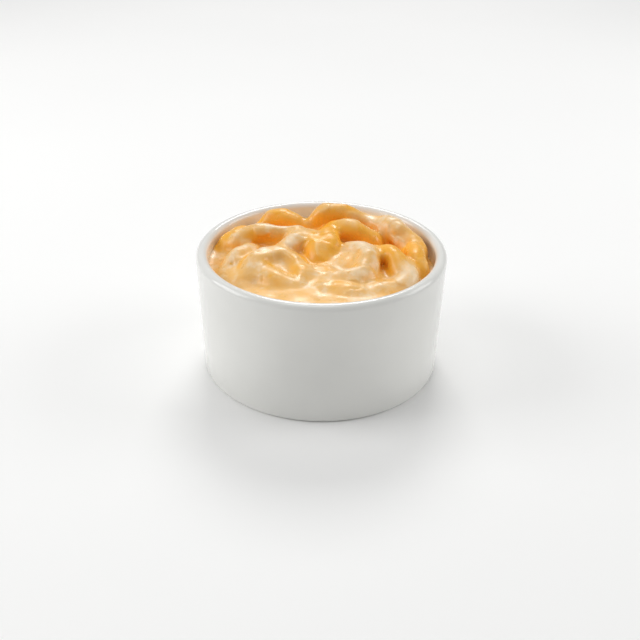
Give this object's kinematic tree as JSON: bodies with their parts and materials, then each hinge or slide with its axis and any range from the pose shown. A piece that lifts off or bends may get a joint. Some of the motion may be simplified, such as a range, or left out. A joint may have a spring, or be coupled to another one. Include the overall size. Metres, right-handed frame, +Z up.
{
  "type": "ramekin of macaroni and cheese",
  "caption": "Round white ceramic ramekin with straight, slightly flared sides, filled with a low heap of elbow macaroni in smooth cheese sauce.",
  "frame": {"origin": "centre of the ring that the ramekin stands on", "axes": "+Z up out of the ramekin, -Y towards the viewer's side"},
  "size_m": [0.098, 0.098, 0.0577],
  "materials": {
    "glazed_ceramic": "smooth white glaze",
    "cheese_sauce": "wet cheese sauce over macaroni"
  },
  "bodies": {
    "root": {"ramekin": "glazed_ceramic", "mac_and_cheese": "cheese_sauce"}
  },
  "joints": []
}
